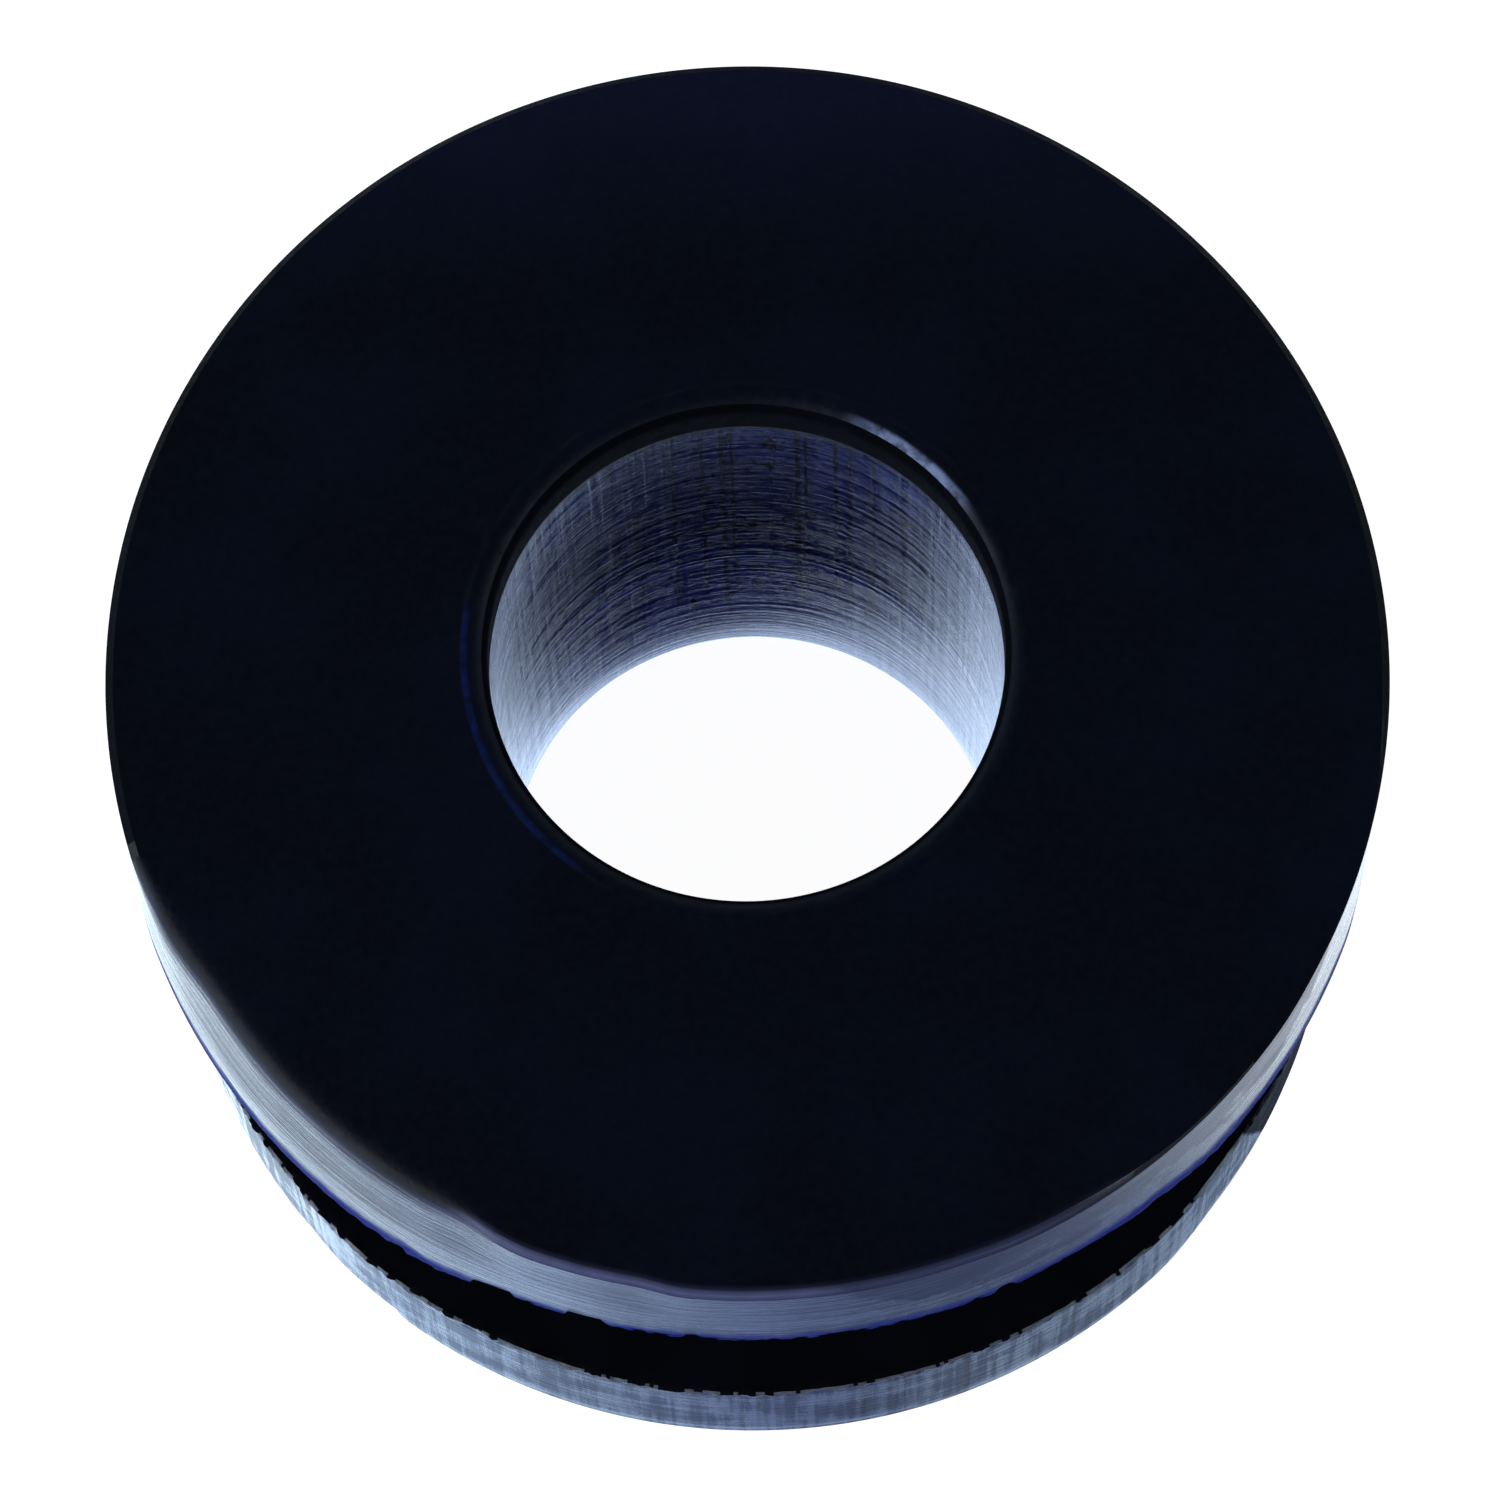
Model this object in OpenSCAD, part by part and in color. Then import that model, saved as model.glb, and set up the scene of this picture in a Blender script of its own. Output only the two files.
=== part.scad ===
// Rubber grommet: one moulded ring with a flange at each end, a deep square groove between them
// that takes the edge of a sheet, and a plain bore through the middle. It lies on its lower
// flange, with the bore along Z and the origin at the centre of the lower face. The upper flange
// is a little larger across than the lower one. All sizes are in millimetres.

/* [Bore] */
// Diameter of the bore that a cable, tube or stud passes through
bore_d = 6.4; // [4:0.1:7.4]
// Round at both mouths of the bore
mouth_round = 0.25; // [0.05:0.05:0.5]

/* [Flanges] */
// Outside diameter of the upper flange
upper_flange_d = 15.9; // [14:0.1:24]
// Thickness of the upper flange
upper_flange_t = 2.2; // [1.4:0.1:5]
// Outside diameter of the lower flange
lower_flange_d = 15.3; // [14:0.1:24]
// Thickness of the lower flange
lower_flange_t = 2.1; // [1.4:0.1:5]
// Flat that breaks the outer edge of the top and bottom faces, measured along the face
edge_break = 0.1; // [0.05:0.05:0.4]

/* [Groove] */
// Width of the groove, which is the thickness of the sheet that it grips
groove_w = 4.4; // [1.5:0.1:7]
// Diameter of the groove's floor, which is the hole in that sheet
groove_floor_d = 9.5; // [8.5:0.1:12]
// Fillet in both corners at the root of the groove
root_fillet = 0.4; // [0.05:0.05:0.6]

/* [Hidden] */

// Segments of a full circle
$fn = 180;

// Heights of the groove's upper face and of the top face
groove_top_z = lower_flange_t + groove_w;
top_z = groove_top_z + upper_flange_t;

bore_r = bore_d / 2;
floor_r = groove_floor_d / 2;

// Puts a shape drawn in the first quadrant at a corner, turned to the side that inward points to
module at_corner(corner, inward) {
    translate(corner)
        mirror([inward[0] < 0 ? 1 : 0, 0])
            mirror([0, inward[1] < 0 ? 1 : 0])
                children();
}

// What lies between a square corner and a quarter circle of radius r in it
module round_waste(r) {
    difference() {
        square(r);
        translate([r, r]) circle(r);
    }
}

// What lies between a square corner and a flat at 45 degrees across it
module flat_waste(c) {
    polygon([[0, 0], [c, 0], [0, c]]);
}

// Section of the core between the bore and the groove's floor, with its root filleted into
// the flanges above and below
module core_section() {
    translate([bore_r, 0]) square([floor_r - bore_r, top_z]);
    at_corner([floor_r, lower_flange_t], [1, 1]) round_waste(root_fillet);
    at_corner([floor_r, groove_top_z], [1, -1]) round_waste(root_fillet);
}

// Section of one flange of the given diameter and thickness, from the bore to the rim
module flange_section(d, t) {
    translate([bore_r, 0]) square([d / 2 - bore_r, t]);
}

// Section of the whole ring, to the right of its axis
module ring_section() {
    difference() {
        union() {
            core_section();
            flange_section(lower_flange_d, lower_flange_t);
            translate([0, groove_top_z]) flange_section(upper_flange_d, upper_flange_t);
        }
        at_corner([bore_r, 0], [1, 1]) round_waste(mouth_round);
        at_corner([bore_r, top_z], [1, -1]) round_waste(mouth_round);
        at_corner([lower_flange_d / 2, 0], [-1, 1]) flat_waste(edge_break);
        at_corner([upper_flange_d / 2, top_z], [-1, -1]) flat_waste(edge_break);
    }
}

// The grommet: the section turned once round the bore
module grommet() {
    color("#12151d")
        rotate_extrude()
            ring_section();
}

grommet();
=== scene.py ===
import bpy
import math
from mathutils import Matrix


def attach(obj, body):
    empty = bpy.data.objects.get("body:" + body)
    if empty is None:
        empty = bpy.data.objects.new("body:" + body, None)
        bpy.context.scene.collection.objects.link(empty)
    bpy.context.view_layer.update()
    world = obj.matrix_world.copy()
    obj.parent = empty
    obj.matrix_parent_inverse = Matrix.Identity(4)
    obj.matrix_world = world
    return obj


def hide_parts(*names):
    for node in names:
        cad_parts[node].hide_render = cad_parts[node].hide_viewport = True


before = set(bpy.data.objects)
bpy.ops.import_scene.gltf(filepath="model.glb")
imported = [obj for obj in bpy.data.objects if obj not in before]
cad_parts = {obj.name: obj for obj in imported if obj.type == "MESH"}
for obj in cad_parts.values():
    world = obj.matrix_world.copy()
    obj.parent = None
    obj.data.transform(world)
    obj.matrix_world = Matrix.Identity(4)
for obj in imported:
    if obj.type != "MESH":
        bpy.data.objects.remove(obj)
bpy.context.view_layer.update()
mm = 0.001


def startFresh():
    if bpy.context.mode != "OBJECT":
        bpy.ops.object.mode_set(mode="OBJECT")
    bpy.ops.object.select_all(action="DESELECT")
    bpy.context.view_layer.objects.active = None


def pickOut(piece):
    startFresh()
    piece.select_set(True)
    bpy.context.view_layer.objects.active = piece


# The ring: one open loop is run along the whole section and closed on itself

ring = {
    "segments": 850,
    "upperAcross": (15.60, 15.90),   # side to side, front to back: the moulding is a little oval
    "lowerAcross": 15.32,
    "lowerShift": 0.176,             # the two halves of the mould were not quite in line
    "boreAcross": (6.38, 6.30),      # at the foot and at the mouth
    "boreShift": 0.187,
    "cutTo": 8.05,                   # the bore is cut up to here, and its mouth above is as moulded and carries painted shade
    "coreAcross": 9.50,
    "topZ": 8.70,
    "lipZ": 6.50,                    # underside of the upper flange
    "shelfZ": 2.10,                  # top of the lower flange
    "mouthRound": 0.25,
    "edgeBreak": 0.10,
    "rootFillet": 0.40,
    "trimLip": 0.01,                 # height of the trimmed lip round the mouth
}


def startLoop(across, z, shift):
    # The open loop that is run along the section, with its size and height now
    startFresh()
    bpy.ops.mesh.primitive_circle_add(
        vertices=ring["segments"], radius=across / 2 * mm, fill_type="NOTHING",
        location=(0, shift * mm, z * mm))
    piece = bpy.context.object
    bpy.ops.object.transform_apply(location=True, rotation=True, scale=True)
    bpy.ops.object.mode_set(mode="EDIT")
    bpy.ops.mesh.select_mode(type="VERT")
    bpy.ops.mesh.select_all(action="SELECT")
    return {"piece": piece, "x": across / 2, "y": across / 2, "z": z, "shift": shift}


def runStep(loop, x, y, z, shift):
    move = (0, (shift - loop["shift"]) * mm, (z - loop["z"]) * mm)
    bpy.ops.mesh.extrude_region_move(TRANSFORM_OT_translate={"value": move})
    if x != loop["x"] or y != loop["y"]:
        bpy.ops.transform.resize(
            value=(x / loop["x"], y / loop["y"], 1),
            center_override=(0, shift * mm, z * mm))
    loop.update(x=x, y=y, z=z, shift=shift)


def runStraight(loop, x, y, z, shift, steps=1):
    was = dict(loop)
    for i in range(1, steps + 1):
        t = i / steps
        runStep(loop, was["x"] + (x - was["x"]) * t, was["y"] + (y - was["y"]) * t,
                was["z"] + (z - was["z"]) * t, was["shift"] + (shift - was["shift"]) * t)


def runQuarter(loop, x, y, z, upFirst, steps=4):
    # A quarter round to the new size and height
    was = dict(loop)
    for i in range(1, steps + 1):
        a = math.pi / 2 * i / steps
        out = 1 - math.cos(a) if upFirst else math.sin(a)
        up = math.sin(a) if upFirst else 1 - math.cos(a)
        runStep(loop, was["x"] + (x - was["x"]) * out, was["y"] + (y - was["y"]) * out,
                was["z"] + (z - was["z"]) * up, was["shift"])


def modelRing():
    # The lengths between the loops are in mm, and shorter where an edge wears later on
    s = ring
    foot, mouth = s["boreAcross"][0] / 2, s["boreAcross"][1] / 2
    bs, ls = s["boreShift"], s["lowerShift"]
    ux, uy = s["upperAcross"][0] / 2, s["upperAcross"][1] / 2
    lower, core = s["lowerAcross"] / 2, s["coreAcross"] / 2
    top, lip, shelf = s["topZ"], s["lipZ"], s["shelfZ"]
    mr, eb, rf, rim = s["mouthRound"], s["edgeBreak"], s["rootFillet"], s["trimLip"]

    loop = startLoop(2 * (foot + mr), 0, bs)
    runQuarter(loop, foot, foot, mr, upFirst=False)
    runStraight(loop, mouth, mouth, s["cutTo"], bs, steps=13)
    runStraight(loop, mouth, mouth, top - mr, bs, steps=3)
    runQuarter(loop, mouth + mr, mouth + mr, top - rim * 0.3, upFirst=True, steps=6)

    # The trimmed lip outside the mouth, then the flat face
    runStraight(loop, mouth + mr + 0.03, mouth + mr + 0.03, top, bs)
    runStraight(loop, mouth + mr + 0.10, mouth + mr + 0.10, top - rim, bs, steps=3)
    runStraight(loop, mouth + mr + 0.16, mouth + mr + 0.16, top - rim, bs, steps=2)
    runStraight(loop, ux - 0.9, uy - 0.9, top, 0, steps=4)
    runStraight(loop, ux - eb, uy - eb, top, 0, steps=12)
    runStraight(loop, ux, uy, top - eb, 0, steps=2)

    # Wall of the upper flange, its lip and its underside
    runStraight(loop, ux, uy, top - 0.5, 0, steps=6)
    runStraight(loop, ux, uy, lip + 0.32, 0, steps=8)
    runStraight(loop, ux, uy, lip + 0.02, 0, steps=7)
    runStraight(loop, ux - 0.02, uy - 0.02, lip, 0)
    runStraight(loop, ux - 0.25, uy - 0.25, lip, 0, steps=4)
    runStraight(loop, core + rf, core + rf, lip, 0, steps=3)

    # The groove
    runQuarter(loop, core, core, lip - rf, upFirst=False)
    runStraight(loop, core, core, shelf + rf, 0, steps=2)
    runQuarter(loop, core + rf, core + rf, shelf, upFirst=True)
    runStraight(loop, lower - 0.3, lower - 0.3, shelf, ls, steps=3)
    runStraight(loop, lower - 0.03, lower - 0.03, shelf, ls, steps=4)

    # Wall of the lower flange and the bottom face
    runStraight(loop, lower, lower, shelf - 0.03, ls)
    runStraight(loop, lower, lower, shelf - 0.28, ls, steps=5)
    runStraight(loop, lower, lower, 0.42, ls, steps=5)
    runStraight(loop, lower - 0.02, lower - 0.02, 0.08, ls, steps=2)
    runStraight(loop, lower - 0.09, lower - 0.09, 0, ls, steps=2)
    runStraight(loop, foot + mr + 0.2, foot + mr + 0.2, 0, bs, steps=3)

    # The last loop is bridged to the first one
    bpy.ops.mesh.select_all(action="DESELECT")
    bpy.ops.mesh.select_non_manifold()
    bpy.ops.mesh.bridge_edge_loops()
    bpy.ops.mesh.select_all(action="SELECT")
    bpy.ops.mesh.remove_doubles(threshold=1e-7)
    bpy.ops.mesh.normals_make_consistent(inside=False)
    startFresh()
    piece = loop["piece"]
    piece.name = "rubberRing"
    piece.data.name = "rubberRing"
    print("ring modelled:", len(piece.data.polygons), "faces")
    return piece


def placeOf(co):
    # Distance from the axis, angle round it in degrees and height, all sizes in millimetres
    x, y, z = co.x / mm, co.y / mm, co.z / mm
    return math.hypot(x, y), math.degrees(math.atan2(y, x)) % 360, z


def window(value, low, high, soft):
    # 1 between low and high, easing to 0 over soft on both sides
    t = min((value - low) / soft + 1, (high - value) / soft + 1, 1)
    t = max(t, 0)
    return t * t * (3 - 2 * t)


def addGroup(piece, name, weightAt):
    group = piece.vertex_groups.new(name=name)
    for vertex in piece.data.vertices:
        weight = weightAt(*placeOf(vertex.co))
        if weight > 0.001:
            group.add([vertex.index], weight, "REPLACE")
    return name


def clouds(name, size, depth):
    texture = bpy.data.textures.new(name, "CLOUDS")
    texture.noise_scale = size * mm
    texture.noise_depth = depth
    return texture


def displace(piece, group, strength, texture=None, direction="NORMAL"):
    pickOut(piece)
    change = piece.modifiers.new("displace", "DISPLACE")
    change.vertex_group = group
    change.direction = direction
    change.strength = strength * mm
    change.texture_coords = "LOCAL"
    change.mid_level = 0
    if texture:
        change.texture = texture
        change.mid_level = 0.5
    bpy.ops.object.modifier_apply(modifier=change.name)


def pushOut(piece, name, amount, weightAt):
    # Moves what the weight covers away from the axis, straight out on every side
    directions = (("X", 1, 0), ("X", -1, 0), ("Y", 0, 1), ("Y", 0, -1))
    for i, (axis, alongX, alongY) in enumerate(directions):
        def weightThere(r, a, z):
            turn = math.radians(a)
            share = alongX * math.cos(turn) + alongY * math.sin(turn)
            return share * weightAt(r, a, z) if share > 0 else 0
        group = addGroup(piece, name + str(i), weightThere)
        displace(piece, group, amount * (alongX + alongY), direction=axis)


def smoothOver(piece, group, rounds):
    pickOut(piece)
    change = piece.modifiers.new("smooth", "SMOOTH")
    change.vertex_group = group
    change.factor = 0.5
    change.iterations = rounds
    bpy.ops.object.modifier_apply(modifier=change.name)


# What moulding, trimming and handling left on the edges: from and to in degrees, blend in degrees
# and, where there is a fourth number, how far in mm
wear = {
    "softTop": (206, 236, 10),       # where the top edge is rounded over
    "softRounds": 85,                # how many times it is smoothed
    "paleEdge": (245, 290, 16),      # where the flat on the top edge takes the wall's look and its painted highlight
    # Moved away from the axis: the lower wall, the top edge, the lip of the upper flange, the foot
    "lowerOut": [(322, 345, 10, -0.06), (195, 216, 8, -0.05)],
    "topOut": [(212, 240, 9, -0.13), (243, 258, 5, -0.06), (293, 322, 8, 0.02)],
    "lipOut": [(200, 238, 10, 0.055), (314, 336, 9, 0.055)],
    "footOut": [(219, 228, 3, -0.07)],
    "breakShut": (312, 340, 18, 0.085),  # where the flat on the top edge narrows and closes
    "lipRise": (245, 299, 6, 0.20),      # where the lip is cut back
    # Middle and half the width in degrees, depth in mm
    "lipNicks": [(253.6, 1.6, 0.22), (245.0, 1.7, 0.20), (291.0, 0.5, 0.16), (235.5, 0.6, 0.10),
                 (276.0, 1.0, 0.10), (263.0, 0.5, 0.10)],
    "raggedAt": (232, 312, 14),
    "lipRagged": 0.05,
    "shelfRagged": 0.05,
    "trimWave": 0.03,                # height of the waves in the trimmed lip of the mouth
    "wallWave": 0.02,                # and of the slow ones in the upper wall
    # Distances from the axis beyond which a shape counts as the rim, its wall and the face's edge
    "rim": 7.4,
    "wall": 7.6,
    "faceEdge": 7.66,
    "lowerRim": 7.5,
    "rimZone": 7.2,
}


def wearEdges(piece):
    w = wear
    lip, shelf, top = ring["lipZ"], ring["shelfZ"], ring["topZ"]
    groove = 4                       # any height in mm between the two flanges

    def nearLip(r, z):
        return window(z, lip - 0.01, lip + 0.03, 0.27) if r > w["rim"] else 0

    def nearTop(r, z):
        return window(z, top - 0.12, top + 0.1, 1.2) * window(r, 7.75, 9, 0.6) if z > lip + 0.5 else 0

    start, end, blend, rise = w["lipRise"]
    addGroup(piece, "lipRise", lambda r, a, z: nearLip(r, z) * window(a, start, end, blend))
    displace(piece, "lipRise", rise, direction="Z")
    for i, (start, end, blend, out) in enumerate(w["lipOut"]):
        pushOut(piece, "lipOut" + str(i), out, lambda r, a, z: (
            window(z, lip - 0.3, lip + 0.3, 1.3) * window(a, start, end, blend)
            if r > w["rim"] and z > groove else 0))
    for i, (start, end, blend, out) in enumerate(w["topOut"]):
        pushOut(piece, "topOut" + str(i), out,
                lambda r, a, z: nearTop(r, z) * window(a, start, end, blend))
    start, end, blend, out = w["breakShut"]
    pushOut(piece, "breakShut", out, lambda r, a, z: (
        window(a, start, end, blend) if r > w["faceEdge"] and z > top - 0.04 else 0))
    for i, (start, end, blend, out) in enumerate(w["lowerOut"]):
        pushOut(piece, "lowerOut" + str(i), out, lambda r, a, z: (
            window(r, w["lowerRim"], 9, 0.3) * window(a, start, end, blend) if z < groove else 0))
    for i, (start, end, blend, out) in enumerate(w["footOut"]):
        pushOut(piece, "footOut" + str(i), out, lambda r, a, z: (
            window(z, -0.1, 0.1, 0.3) * window(a, start, end, blend)
            if r > w["rimZone"] else 0))
    for i, (middle, half, depth) in enumerate(w["lipNicks"]):
        name = "lipNick" + str(i)
        addGroup(piece, name, lambda r, a, z: (
            window(z, lip - 0.35, lip + 0.25, 0.2) * window(a, middle - half, middle + half, 0.4)
            if r > w["rim"] and z < lip + 0.6 else 0))
        displace(piece, name, depth, direction="Z")

    addGroup(piece, "lipRagged", lambda r, a, z: (
        window(z, lip - 0.4, lip + 0.2, 0.15) * window(a, *w["raggedAt"])
        if r > w["wall"] and z > groove else 0))
    displace(piece, "lipRagged", w["lipRagged"] * 2, clouds("lipTear", 0.30, 3), "Z")
    displace(piece, "lipRagged", w["lipRagged"], clouds("lipBurr", 0.16, 2))

    addGroup(piece, "shelfRagged", lambda r, a, z: (
        window(z, shelf - 0.06, shelf + 0.1, 0.14) * window(r, w["lowerRim"], 9, 0.12)
        if z < groove else 0))
    displace(piece, "shelfRagged", w["shelfRagged"] * 2, clouds("shelfChips", 0.12, 2))
    displace(piece, "shelfRagged", w["shelfRagged"] * 1.7, clouds("shelfTeeth", 0.10, 2), "Z")
    displace(piece, "shelfRagged", w["shelfRagged"], clouds("shelfWave", 0.6, 2))

    addGroup(piece, "softTop", lambda r, a, z: (
        window(a, *w["softTop"]) if r > w["rimZone"] and z > top - 0.5 else 0))
    smoothOver(piece, "softTop", w["softRounds"])

    addGroup(piece, "trimLip", lambda r, a, z: (
        window(r, 3.2, 3.62, 0.02) if z > top - 0.12 else 0))
    displace(piece, "trimLip", w["trimWave"], clouds("trimWave", 0.3, 3), "Z")

    # A slow unevenness in the walls, as soft rubber has
    addGroup(piece, "walls", lambda r, a, z: (
        window(z, lip + 0.3, top - 0.4, 0.3) if r > w["rim"] else 0))
    displace(piece, "walls", w["wallWave"], clouds("wallWave", 1.4, 2))
    piece.vertex_groups.clear()
    print("edges worn")


# Rubber: one compound, with a look of its own where it is cut, ground or as moulded, and painted shade in
# the groove

def newMaterial(name, colour, roughness, specular):
    # Colour and roughness here are averages, and most looks link their own over them
    material = bpy.data.materials.new(name)
    material.use_nodes = True
    tree = material.node_tree
    shader = tree.nodes["Principled BSDF"]
    shader.inputs["Base Color"].default_value = (*colour, 1)
    shader.inputs["Roughness"].default_value = roughness
    shader.inputs["Specular IOR Level"].default_value = specular
    return material, tree, shader


def objectPlace(tree, scale=(1, 1, 1)):
    # Object coordinates in millimetres, stretched by scale
    coords = tree.nodes.new("ShaderNodeTexCoord")
    mapping = tree.nodes.new("ShaderNodeMapping")
    mapping.inputs["Scale"].default_value = tuple(s / mm for s in scale)
    tree.links.new(coords.outputs["Object"], mapping.inputs["Vector"])
    return mapping.outputs["Vector"]


def addNoise(tree, stretch, scale, detail=4, rough=0.55):
    noise = tree.nodes.new("ShaderNodeTexNoise")
    noise.inputs["Scale"].default_value = scale
    noise.inputs["Detail"].default_value = detail
    noise.inputs["Roughness"].default_value = rough
    tree.links.new(objectPlace(tree, stretch), noise.inputs["Vector"])
    return noise.outputs["Fac"]


def addMath(tree, operation, first, second=None):
    node = tree.nodes.new("ShaderNodeMath")
    node.operation = operation
    for socket, value in zip(node.inputs, (first, second)):
        if value is None:
            continue
        if isinstance(value, (int, float)):
            socket.default_value = value
        else:
            tree.links.new(value, socket)
    return node.outputs["Value"]


def addShare(tree, value, part, share):
    return addMath(tree, "ADD", value, addMath(tree, "MULTIPLY", part, share))


def addRange(tree, value, fromLow, fromHigh, toLow=0.0, toHigh=1.0):
    node = tree.nodes.new("ShaderNodeMapRange")
    node.interpolation_type = "SMOOTHSTEP"
    tree.links.new(value, node.inputs["Value"])
    node.inputs["From Min"].default_value = fromLow
    node.inputs["From Max"].default_value = fromHigh
    node.inputs["To Min"].default_value = toLow
    node.inputs["To Max"].default_value = toHigh
    return node.outputs["Result"]


def addMix(tree, factor, first, second, blend="MIX"):
    node = tree.nodes.new("ShaderNodeMix")
    node.data_type = "RGBA"
    node.blend_type = blend
    for name, value in (("Factor", factor), ("A", first), ("B", second)):
        socket = [s for s in node.inputs if s.name == name and s.enabled][0]
        if isinstance(value, (int, float)):
            socket.default_value = value
        elif isinstance(value, tuple):
            socket.default_value = (*value, 1)
        else:
            tree.links.new(value, socket)
    return [s for s in node.outputs if s.enabled][0]


def addBump(tree, height, distance, under=None):
    node = tree.nodes.new("ShaderNodeBump")
    node.inputs["Strength"].default_value = 1
    node.inputs["Distance"].default_value = distance * mm
    tree.links.new(height, node.inputs["Height"])
    if under is not None:
        tree.links.new(under, node.inputs["Normal"])
    return node.outputs["Normal"]


def addDistance(tree, x, y):
    squares = addMath(tree, "ADD", addMath(tree, "MULTIPLY", x, x), addMath(tree, "MULTIPLY", y, y))
    return addMath(tree, "SQRT", squares)


def turnOf(degrees):
    # Angles round the axis are counted from the left in the materials
    return (degrees + 180) % 360


def placeNodes(tree, shift):
    # Height, angle as turnOf counts it, distance from an axis moved along Y, place along Y; mm
    coords = tree.nodes.new("ShaderNodeTexCoord")
    split = tree.nodes.new("ShaderNodeSeparateXYZ")
    tree.links.new(coords.outputs["Object"], split.inputs["Vector"])
    x = addMath(tree, "DIVIDE", split.outputs["X"], mm)
    y = addMath(tree, "SUBTRACT", addMath(tree, "DIVIDE", split.outputs["Y"], mm), shift)
    height = addMath(tree, "DIVIDE", split.outputs["Z"], mm)
    turn = addMath(tree, "ADD", addMath(tree, "DEGREES", addMath(tree, "ARCTAN2", y, x)), 180)
    return height, turn, addDistance(tree, x, y), y


def addTurns(tree, turn, lines):
    return addLines(tree, turn, [(turnOf(place), half, level) for place, half, level in lines])


def addWindow(tree, value, low, high, soft):
    # 1 between low and high, easing to 0 over soft on both sides
    rise = addRange(tree, value, low - soft, low)
    fall = addRange(tree, value, high, high + soft, 1, 0)
    return addMath(tree, "MULTIPLY", rise, fall)


def addLines(tree, value, lines):
    # 1 where the rubber is plain; each line has its place, half its width and the level there
    product = None
    for place, half, level in lines:
        away = addMath(tree, "ABSOLUTE", addMath(tree, "SUBTRACT", value, place))
        line = addRange(tree, away, half * 0.3, half, level, 1)
        product = line if product is None else addMath(tree, "MULTIPLY", product, line)
    return product


# Top face and upper wall; places are from and to in degrees, with their blend
outer = {
    "deep": (0.0018, 0.0024, 0.0032),
    "navy": (0.0025, 0.0037, 0.0085),
    # painted sheen: the far side of the face is paler and bluer
    "paintedFarSheen": (0.0060, 0.0075, 0.0200),
    "wallDark": (0.018, 0.021, 0.048),
    "wallPale": (0.038, 0.044, 0.096),
    "fleck": (0.09, 0.11, 0.16),
    "stripHighlight": (0.10, 0.10, 0.185),     # the flat that breaks the top edge, paler: painted highlight
    "lipBlue": (0.002, 0.010, 0.125),
    "lipUp": (0.34, 0.78),            # how far up from the lip the blue fades, mm
    "mouthHighlight": (0.20, 0.24, 0.36),     # painted highlight on the mouth's edge at the back right
    "mouthHighlightAt": (42, 54, 14),
    # painted highlight, bluish, on the mouth's edge at the left
    "mouthGlint": (0.004, 0.010, 0.052),
    "mouthGlintAt": (176.4, 223.2, 14.4),
    "shadedDullAt": (285, 322, 12),         # where the upper part of the wall is rougher and darker, with painted shade
    "roughness": 0.30,
    "specular": 0.12,
}


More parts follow.
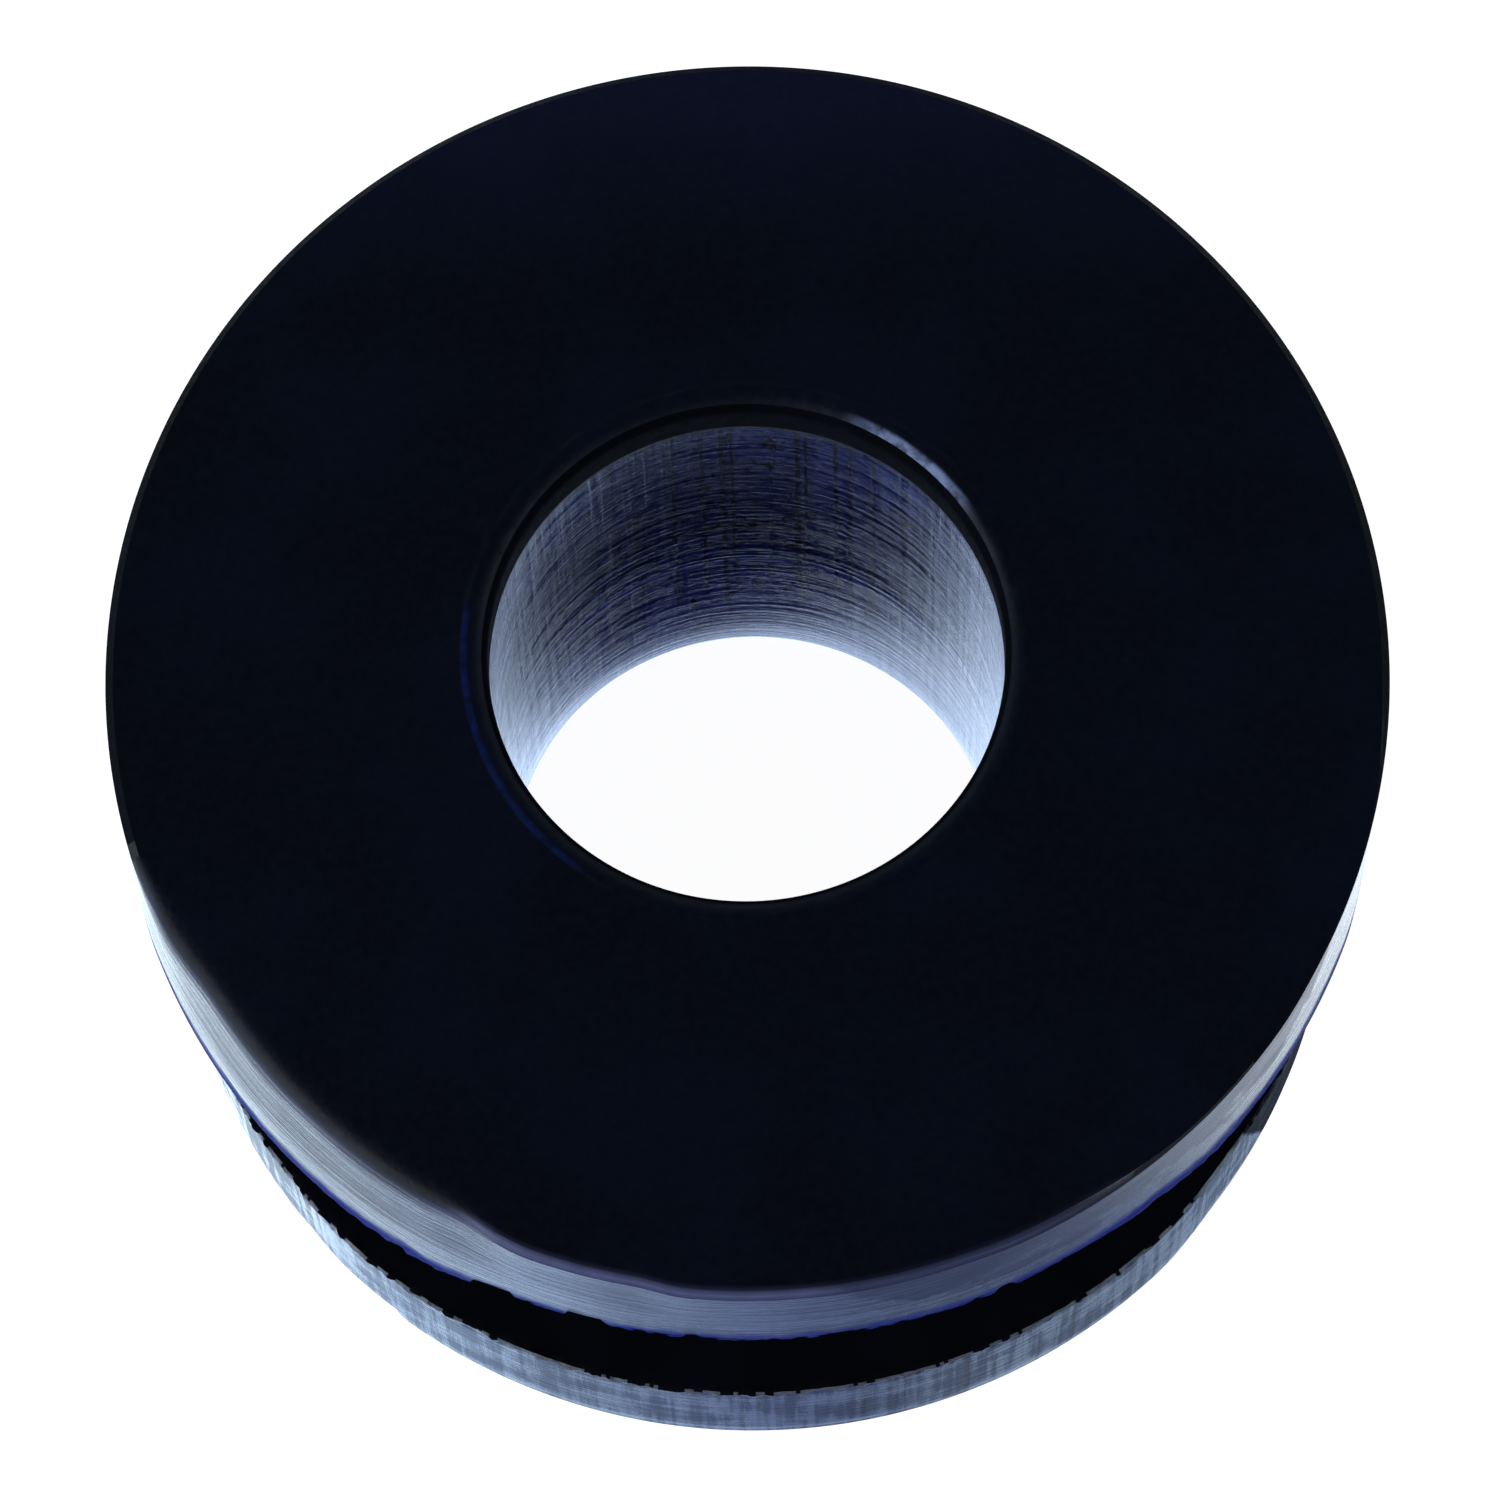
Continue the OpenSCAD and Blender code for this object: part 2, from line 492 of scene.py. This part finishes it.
def outerRubber():
    # The attribute wallShare says how far the surface has turned down from face to wall
    look = outer
    material, tree, shader = newMaterial("outerRubber", look["navy"],
                                         look["roughness"], look["specular"])
    height, turn, reach, back = placeNodes(tree, ring["boreShift"])
    wallShare = tree.nodes.new("ShaderNodeAttribute")
    wallShare.attribute_name = "wallShare"
    wallShare = wallShare.outputs["Fac"]

    # The moulded face
    cloud = addRange(tree, addNoise(tree, (1, 1, 1), 0.45, 5), 0.35, 0.65)
    grain = addNoise(tree, (1, 1, 1), 9, 3)
    faceColour = addMix(tree, cloud, look["deep"], look["navy"])
    faceColour = addMix(tree, addRange(tree, grain, 0.3, 0.7, 0, 0.35), faceColour, look["deep"])
    # Towards the back the face is paler and bluer: painted sheen
    faceColour = addMix(tree, addRange(tree, back, 4.5, 8.0, 0, 0.8), faceColour, look["paintedFarSheen"])
    patchy = addRange(tree, addNoise(tree, (1, 1, 1), 5, 3), 0.25, 0.65)
    # A painted highlight on the mouth's edge at the back right, in patches
    start, end, blend = look["mouthHighlightAt"]
    mouthHighlight = addMath(tree, "MULTIPLY", addWindow(tree, reach, 3.20, 3.29, 0.06),
                     addWindow(tree, turn, turnOf(start), turnOf(end), blend))
    faceColour = addMix(tree, addMath(tree, "MULTIPLY", mouthHighlight, patchy), faceColour, look["mouthHighlight"])
    # A bluish painted highlight on the mouth's edge at the left, in patches
    degrees = addMath(tree, "FLOORED_MODULO", addMath(tree, "ADD", turn, 180), 360)
    blue = addMath(tree, "MULTIPLY", addWindow(tree, reach, 3.42, 3.46, 0.04),
                   addWindow(tree, degrees, *look["mouthGlintAt"]))
    faceColour = addMix(tree, addMath(tree, "MULTIPLY", blue, patchy), faceColour, look["mouthGlint"])

    # The brushed wall
    mottle = addRange(tree, addNoise(tree, (1, 1, 2.2), 0.9, 5), 0.35, 0.65)
    brush = addRange(tree, addNoise(tree, (0.35, 0.35, 14), 1, 4), 0.34, 0.66)
    fine = addNoise(tree, (1, 1, 1), 14, 3)
    amount = addMath(tree, "MULTIPLY", addMath(tree, "ADD", mottle, brush), 0.5)
    wallColour = addMix(tree, amount, look["wallDark"], look["wallPale"])
    wallColour = addMix(tree, addRange(tree, fine, 0.62, 0.72, 0, 0.5), wallColour, look["fleck"])
    patches = addRange(tree, addNoise(tree, (1, 1, 1), 1.4, 4), 0.3, 0.7, 0.8, 1.7)
    ragged = addShare(tree, height, addNoise(tree, (1, 1, 1), 3, 3), 0.3)
    low, high = (ring["lipZ"] + up for up in look["lipUp"])
    nearSide = addRange(tree, back, -1, 3, 1, 0)
    lipBlue = addMath(tree, "MULTIPLY", addRange(tree, ragged, low, high, 1, 0), nearSide)
    wallColour = addMix(tree, lipBlue, wallColour, look["lipBlue"])
    top = ring["topZ"]
    # The flat on the top edge is paler: painted highlight
    wallColour = addMix(tree, addRange(tree, height, top - 0.11, top - 0.05), wallColour, look["stripHighlight"])
    # The upper part of the wall darkens towards the top, more so on the near right: painted shade; it is
    # rougher there too
    start, end, blend = look["shadedDullAt"]
    shadedDuller = addMath(tree, "MULTIPLY", addWindow(tree, turn, turnOf(start), turnOf(end), blend), patches)
    shadeBand = addRange(tree, addMath(tree, "ADD", ragged, shadedDuller), top - 0.05, top + 0.45, 0, 0.8)
    wallColour = addMix(tree, shadeBand, wallColour, look["wallDark"])

    tree.links.new(addMix(tree, wallShare, faceColour, wallColour), shader.inputs["Base Color"])
    faceRough = addRange(tree, grain, 0.3, 0.7, 0.38, 0.48)
    wallRough = addRange(tree, amount, 0.2, 0.8, 0.22, 0.14)
    wallRough = addShare(tree, wallRough, lipBlue, 0.7)
    wallRough = addShare(tree, wallRough, shadeBand, 0.3)
    rough = addMath(tree, "ADD", addMath(tree, "MULTIPLY", wallRough, wallShare),
                    addMath(tree, "MULTIPLY", faceRough, addMath(tree, "SUBTRACT", 1, wallShare)))
    tree.links.new(rough, shader.inputs["Roughness"])
    normal = addBump(tree, addMath(tree, "MULTIPLY", brush, wallShare), 0.007)
    normal = addBump(tree, fine, 0.005, under=normal)
    tree.links.new(normal, shader.inputs["Normal"])
    return material


lowerWall = {
    "pale": (0.056, 0.066, 0.116),
    "fleck": (0.09, 0.11, 0.16),
    "torn": (0.075, 0.078, 0.080),   # the chipped upper edge
    "paleLine": (0.22, 0.25, 0.30),   # a pale line just above the foot
    "paleLineUp": (0.30, 0.34, 0.05),
    "dark": (0.010, 0.014, 0.036),
    "darkEnd": (0.004, 0.005, 0.009),
    # Towards its right end the wall gets painted shade, first at its upper edge and then lower down
    "darkEndAt": (308, 356, 6),
    "darkEndFrom": 325,
    "darkEndSlant": 0.35,            # mm down for each degree on
    "roughness": 0.18,
    "specular": 0.12,
    "scores": [(266.8, 0.5, 0.5), (268.5, 0.35, 0.5), (278.7, 0.5, 0.4), (282.1, 0.3, 0.5),
               (282.9, 0.25, 0.5), (289.3, 0.5, 0.3), (299.5, 0.3, 0.4), (301.0, 0.3, 0.4)],
}


def lowerRubber():
    look = lowerWall
    material, tree, shader = newMaterial("scoredWall", look["pale"],
                                         look["roughness"], look["specular"])
    height, turn = placeNodes(tree, 0)[:2]
    mottle = addRange(tree, addNoise(tree, (1, 1, 2.2), 0.9, 5), 0.35, 0.65)
    scratch = addRange(tree, addNoise(tree, (9, 9, 0.35), 1, 4), 0.34, 0.66)
    fine = addNoise(tree, (1, 1, 1), 14, 3)
    scores = addTurns(tree, turn, look["scores"])
    amount = addMath(tree, "MULTIPLY", addMath(tree, "ADD", mottle, scratch), 0.5)
    colour = addMix(tree, amount, look["dark"], look["pale"])
    colour = addMix(tree, addRange(tree, fine, 0.62, 0.72, 0, 0.5), colour, look["fleck"])
    colour = addMix(tree, 1.0, colour, scores, "MULTIPLY")
    torn = addShare(tree, height, addNoise(tree, (1, 1, 1), 4, 3), 0.12)
    shelf = ring["shelfZ"]
    colour = addMix(tree, addRange(tree, torn, shelf - 0.01, shelf + 0.03), colour, look["torn"])
    paleLineShare = addMath(tree, "MULTIPLY", addWindow(tree, torn, *look["paleLineUp"]),
                    addRange(tree, mottle, 0.1, 0.9, 0.2, 0.9))
    colour = addMix(tree, paleLineShare, colour, look["paleLine"])
    # Painted shade at the wall's right end, slanting down as it goes; it is rougher there too
    past = addMath(tree, "SUBTRACT", turn, turnOf(look["darkEndFrom"]))
    slanted = addShare(tree, torn, past, look["darkEndSlant"])
    darkEnd = addRange(tree, slanted, shelf - 0.1, shelf + 0.15)
    start, end, blend = look["darkEndAt"]
    darkEnd = addMath(tree, "MULTIPLY", darkEnd, addWindow(tree, turn, turnOf(start), turnOf(end), blend))
    colour = addMix(tree, darkEnd, colour, look["darkEnd"])
    tree.links.new(colour, shader.inputs["Base Color"])
    across = addRange(tree, addNoise(tree, (0.4, 0.4, 12), 1, 4), 0.36, 0.64)
    rough = addShare(tree, addRange(tree, amount, 0.2, 0.8, 0.38, 0.14), darkEnd, 0.7)
    tree.links.new(rough, shader.inputs["Roughness"])
    normal = addBump(tree, scratch, 0.009)
    normal = addBump(tree, across, 0.006, under=normal)
    normal = addBump(tree, scores, 0.012, under=normal)
    normal = addBump(tree, fine, 0.006, under=normal)
    tree.links.new(normal, shader.inputs["Normal"])
    return material


bore = {
    "dark": (0.0025, 0.003, 0.024),
    "pale": (0.026, 0.038, 0.180),
    "roughness": 0.10,
    "specular": 0.12,
    "speck": (0.001, 0.001, 0.002),
    "dust": (0.09, 0.13, 0.27),
    "mouthShade": (0.001, 0.001, 0.002),  # painted shade on the rounded mouth above the cut
    # Place in degrees or mm up, half the width, and the level there
    "streaks": [(105.5, 0.7, 0.4), (98.7, 0.6, 0.2), (94.1, 0.7, 0.1), (91.8, 0.5, 0.1),
                (83.0, 0.4, 0.4), (76.7, 0.8, 0.0), (74.8, 0.5, 0.1), (67.6, 0.7, 0.1),
                (64.1, 0.5, 0.2), (58.2, 0.9, 0.4), (50.5, 0.6, 0.5)],
    "streaksEnd": (4.6, 2.6),        # heights between which the streaks die out downwards
    "rings": [(0.10, 0.06, 0.1), (3.23, 0.09, 2.4), (3.9, 0.07, 0.3), (4.5, 0.09, 0.15),
              (5.3, 0.06, 0.5)],
}


def boreRubber():
    look = bore
    material, tree, shader = newMaterial("cutBore", look["pale"],
                                         look["roughness"], look["specular"])
    height, turn = placeNodes(tree, ring["boreShift"])[:2]
    rings = addRange(tree, addNoise(tree, (0.25, 0.25, 6), 1, 5, 0.7), 0.36, 0.64)
    scratch = addRange(tree, addNoise(tree, (7, 7, 0.25), 1, 4), 0.36, 0.64)
    smear = addRange(tree, addNoise(tree, (1, 1, 0.8), 0.8, 4), 0.35, 0.65)
    specks = addNoise(tree, (1, 1, 0.7), 4, 2)
    dust = addNoise(tree, (1, 1, 1), 12, 3)
    # The bore is paler towards its foot: painted light from the table below
    low = addRange(tree, height, 6.5, 0.6)
    amount = addMath(tree, "MULTIPLY", rings, 0.3)
    for part, share in ((scratch, 0.2), (smear, 0.3), (low, 0.5)):
        amount = addShare(tree, amount, part, share)
    streaks = addTurns(tree, turn, look["streaks"])
    lowEnd = addShare(tree, height, addNoise(tree, (4, 4, 0.4), 1, 2), 2.5)
    streaks = addMath(tree, "MAXIMUM", streaks, addRange(tree, lowEnd, *look["streaksEnd"]))
    # The tool's rings rise and fall a little on their way round
    ringHeight = addShare(tree, addMath(tree, "SUBTRACT", height, 0.15),
                          addNoise(tree, (1, 1, 0.2), 0.6, 2), 0.3)
    toolRings = addLines(tree, ringHeight, look["rings"])
    colour = addMix(tree, amount, look["dark"], look["pale"])
    colour = addMix(tree, 1.0, colour, streaks, "MULTIPLY")
    colour = addMix(tree, 1.0, colour, toolRings, "MULTIPLY")
    colour = addMix(tree, addRange(tree, specks, 0.64, 0.68), colour, look["speck"])
    colour = addMix(tree, addRange(tree, dust, 0.66, 0.74, 0, 0.8), colour, look["dust"])
    # Above the cut the mouth is made very dark and rougher: painted shade
    edge = addShare(tree, height, addNoise(tree, (1, 1, 1), 4, 3), 0.2)
    mouthShade = addRange(tree, edge, ring["cutTo"] - 0.02, ring["cutTo"] + 0.10)
    colour = addMix(tree, mouthShade, colour, look["mouthShade"])
    tree.links.new(colour, shader.inputs["Base Color"])
    rough = addShare(tree, addRange(tree, amount, 0.1, 0.9, 0.16, 0.08), mouthShade, 0.22)
    tree.links.new(rough, shader.inputs["Roughness"])
    normal = addBump(tree, rings, 0.003)
    normal = addBump(tree, scratch, 0.004, under=normal)
    normal = addBump(tree, dust, 0.004, under=normal)
    tree.links.new(normal, shader.inputs["Normal"])
    return material


# Painted shade: very dark rubber that hardly reflects, for the groove, the mouth above the cut, the back of
# the top edge's flat and the bottom
shade = {
    "colour": (0.0018, 0.0023, 0.0030),
    "cloudy": (0.0026, 0.0033, 0.0050),
    "roughness": 0.60,
    "specular": 0.015,
}


def shadeRubber():
    look = shade
    material, tree, shader = newMaterial("paintedShadeRubber", look["colour"],
                                         look["roughness"], look["specular"])
    cloud = addRange(tree, addNoise(tree, (1, 1, 1), 1.2, 4), 0.35, 0.65)
    grain = addNoise(tree, (1, 1, 1), 10, 3)
    colour = addMix(tree, cloud, look["colour"], look["cloudy"])
    tree.links.new(colour, shader.inputs["Base Color"])
    tree.links.new(addRange(tree, grain, 0.3, 0.7, 0.55, 0.68), shader.inputs["Roughness"])
    tree.links.new(addBump(tree, grain, 0.005), shader.inputs["Normal"])
    return material


# Where each look lies: distances from an axis and heights in mm, and how far a face looks up,
# from -1 to 1
dress = {
    "smoothAngle": 40,
    "boreWithin": 3.9,
    "boreAbove": 0.02,
    "breakFrom": 7.6,
    "breakDown": 0.12,               # the flat on the top edge ends this far below the top
    "breakUp": 0.9,
    "breakPale": (195, 318),         # outside these degrees it gets the groove's painted shade
    "mouthFrom": 3.22,
    "mouthAbove": 8.2,
    "mouthUp": 0.2,
    "wallFrom": 7.35,
    "wallAbove": 6,
    "wallUp": -0.5,
    "lowerFrom": 7.50,
    "lowerBelow": 2.3,
    "lowerUp": (-0.9, 0.75),
}


def dressRing(piece):
    d = dress
    pickOut(piece)
    bpy.ops.object.shade_smooth_by_angle(angle=math.radians(d["smoothAngle"]))
    share = piece.data.attributes.new("wallShare", "FLOAT", "POINT")
    for vertex in piece.data.vertices:
        r, a, z = placeOf(vertex.co)
        if r > ring["coreAcross"] / 2:
            # The face looks straight up; where the edge is soft it turns into wall more slowly
            soft = window(a, *wear["softTop"])
            turnedDown = 1 - window(vertex.normal.z, 0.985 - 0.20 * soft, 1.1, 0.20 + 0.40 * soft)
            # On the flat of the top edge the wall's look, with its painted highlight, shows only where the
            # edge is soft or within paleEdge
            if z > ring["topZ"] - d["breakDown"]:
                turnedDown *= max(soft, window(a, *wear["paleEdge"]))
            share.data[vertex.index].value = turnedDown

    for material in (shadeRubber(), outerRubber(), lowerRubber(), boreRubber()):
        piece.data.materials.append(material)
    for polygon in piece.data.polygons:
        r, a, z = placeOf(polygon.center)
        x, y = polygon.center.x / mm, polygon.center.y / mm
        fromBore = math.hypot(x, y - ring["boreShift"])
        fromLower = math.hypot(x, y - ring["lowerShift"])
        up = polygon.normal.z
        onBreak = r > d["breakFrom"] and z > ring["topZ"] - d["breakDown"] and up < d["breakUp"]
        onMouth = fromBore > d["mouthFrom"] and z > d["mouthAbove"] and up > d["mouthUp"]
        onWall = r > d["wallFrom"] and z > d["wallAbove"] and up > d["wallUp"]
        onLower = (fromLower > d["lowerFrom"] and z < d["lowerBelow"]
                   and d["lowerUp"][0] < up < d["lowerUp"][1])
        if r < d["boreWithin"] and d["boreAbove"] < z < ring["cutTo"]:
            polygon.material_index = 3
        # The back of the top edge's flat gets the painted shade
        elif onBreak and not d["breakPale"][0] < a < d["breakPale"][1]:
            polygon.material_index = 0
        elif onMouth or onWall:
            polygon.material_index = 1
        elif onLower:
            polygon.material_index = 2
        else:
            polygon.material_index = 0
    print("ring dressed")


rubberRing = modelRing()
wearEdges(rubberRing)
dressRing(rubberRing)
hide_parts("grommet")
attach(rubberRing, "root")


# Table, light and camera

studio = {
    "tableSize": 3.0,
    "tableColour": (0.30, 0.32, 0.36),
    "tableGlow": 0.97,
    "tableBounce": 0.6,              # share of the glow that lights the ring from below
    "skyLow": (0.62, 0.78, 1.0),
    "skyMid": (0.05, 0.09, 0.28),
    "skyHigh": (0.02, 0.025, 0.04),
    "skyLeft": (0.8, 1.05, 1.45),    # a wide window low on the left
    "skySeen": (1.25, 1.25, 1.25),
    "skyStrength": 0.8,
    # What the polished walls see of the table: x in mm, then the colour there
    "sheen": [(-10, (2.15, 2.55, 2.70)), (-7, (1.90, 2.40, 2.75)), (-5, (1.38, 1.90, 2.55)),
              (-2.8, (0.66, 0.92, 1.25)), (-0.5, (0.34, 0.47, 0.82)), (2, (0.12, 0.18, 0.34)),
              (5, (0.04, 0.07, 0.13)), (6.4, (0.16, 0.24, 0.40)), (7.4, (0.75, 0.97, 1.15)),
              (8.6, (1.80, 2.00, 2.15)), (10, (2.20, 2.40, 2.50))],
    # Under the ring: a shade that the bore sees, its middle and its reach in mm, and the glow round it
    "boreShade": (-0.30, 1.05, 1.85, 2.45),
    "boreGlow": (1.7, 2.15, 2.9),
    "boreReach": (4.5, 5.5),
    # Close to the ring on its right, from one distance to the other
    "closeGlow": (0.45, 0.60, 0.80),
    "closeReach": (8.6, 8.2),
    "bounceTint": (0.75, 0.85, 1.20),
    "lamps": [("lampLeft", (-0.62, -0.29, 0.32), 0.6, 4.0),
              ("lampRight", (0.68, -0.12, 0.30), 0.6, 1.0)],
    "lampColour": (0.86, 0.92, 1.0),
}


def setTable():
    startFresh()
    bpy.ops.mesh.primitive_grid_add(x_subdivisions=8, y_subdivisions=8, size=studio["tableSize"])
    table = bpy.context.object
    table.name = "table"
    material, tree, shader = newMaterial("paleTable", studio["tableColour"], 0.9, 0.2)
    rays = tree.nodes.new("ShaderNodeLightPath")
    seen = addMath(tree, "MAXIMUM", rays.outputs["Is Camera Ray"], rays.outputs["Is Glossy Ray"])
    seen = addMath(tree, "MAXIMUM", seen, studio["tableBounce"])

    coords = tree.nodes.new("ShaderNodeTexCoord")
    split = tree.nodes.new("ShaderNodeSeparateXYZ")
    tree.links.new(coords.outputs["Object"], split.inputs["Vector"])
    x, y = split.outputs["X"], split.outputs["Y"]
    across = tree.nodes.new("ShaderNodeValToRGB")
    stops = studio["sheen"]
    ramp = across.color_ramp
    low, high = stops[0][0], stops[-1][0]
    along = addMath(tree, "DIVIDE", addMath(tree, "SUBTRACT", x, low * mm), (high - low) * mm)
    tree.links.new(along, across.inputs["Fac"])
    ramp.elements[0].color = (*stops[0][1], 1)
    ramp.elements[1].color = (*stops[-1][1], 1)
    for place, colour in stops[1:-1]:
        ramp.elements.new((place - low) / (high - low)).color = (*colour, 1)

    # Under the ring the sheen gives way to what the bore sees
    middleX, middleY, inside, outside = (size * mm for size in studio["boreShade"])
    reach = addDistance(tree, addMath(tree, "SUBTRACT", x, middleX),
                        addMath(tree, "SUBTRACT", y, middleY))
    boreGlow = addMix(tree, addRange(tree, reach, inside, outside), (0, 0, 0), studio["boreGlow"])
    start, end = (size * mm for size in studio["boreReach"])
    clear = addRange(tree, reach, start, end)
    sheen = addMix(tree, clear, boreGlow, across.outputs["Color"])
    start, end = (size * mm for size in studio["closeReach"])
    closeBy = addMath(tree, "MULTIPLY", addRange(tree, addDistance(tree, x, y), start, end),
                      addRange(tree, x, 0.5 * mm, 3 * mm))
    sheen = addMix(tree, addMath(tree, "MULTIPLY", closeBy, clear), sheen, studio["closeGlow"])
    tint = addMix(tree, rays.outputs["Is Diffuse Ray"], sheen, studio["bounceTint"])
    tint = addMix(tree, rays.outputs["Is Camera Ray"], tint, (1, 1, 1))
    tree.links.new(tint, shader.inputs["Emission Color"])
    tree.links.new(addMath(tree, "MULTIPLY", seen, studio["tableGlow"]), shader.inputs["Emission Strength"])
    table.data.materials.append(material)


def setSky():
    world = bpy.data.worlds.new("studio")
    world.use_nodes = True
    bpy.context.scene.world = world
    tree = world.node_tree
    background = tree.nodes["Background"]
    coords = tree.nodes.new("ShaderNodeTexCoord")
    split = tree.nodes.new("ShaderNodeSeparateXYZ")
    tree.links.new(coords.outputs["Generated"], split.inputs["Vector"])
    # Here 0 is the horizon and 1 is straight up
    middle = addRange(tree, split.outputs["Z"], 0.35, 0.80)
    high = addRange(tree, split.outputs["Z"], 0.88, 0.98)
    sky = addMix(tree, middle, studio["skyLow"], studio["skyMid"])
    sky = addMix(tree, high, sky, studio["skyHigh"])
    leftSide = addMath(tree, "MULTIPLY", addRange(tree, split.outputs["X"], -0.35, -0.75),
                       addRange(tree, split.outputs["Z"], 0.62, 0.30))
    sky = addMix(tree, leftSide, sky, studio["skyLeft"])
    rays = tree.nodes.new("ShaderNodeLightPath")
    colour = addMix(tree, rays.outputs["Is Camera Ray"], sky, studio["skySeen"])
    tree.links.new(colour, background.inputs["Color"])
    background.inputs["Strength"].default_value = studio["skyStrength"]


def setLamps():
    for name, place, size, power in studio["lamps"]:
        startFresh()
        bpy.ops.object.light_add(type="AREA", location=place)
        lamp = bpy.context.object
        lamp.name = name
        lamp.data.size = size
        lamp.data.energy = power
        lamp.data.color = studio["lampColour"]
        lamp.rotation_euler = lamp.location.normalized().to_track_quat("Z", "Y").to_euler()


camera = {
    "place": (0, -29.678, 92.365),   # mm
    "tilt": 18.85,                   # degrees from straight down
    "roll": -2.11,
    "lens": 175.56,
}


def setCamera():
    startFresh()
    bpy.ops.object.camera_add(location=tuple(v * mm for v in camera["place"]))
    eye = bpy.context.object
    eye.name = "camera"
    tilt = Matrix.Rotation(math.radians(camera["tilt"]), 3, "X")
    roll = Matrix.Rotation(math.radians(camera["roll"]), 3, "Z")
    eye.rotation_euler = (tilt @ roll).to_euler()
    eye.data.sensor_width = 36
    eye.data.lens = camera["lens"]
    eye.data.clip_start = 0.001
    eye.data.clip_end = 20
    bpy.context.scene.camera = eye
    bpy.context.scene.view_settings.view_transform = "Standard"
    print("camera set")


setTable()
setSky()
setLamps()
print("studio set")
setCamera()
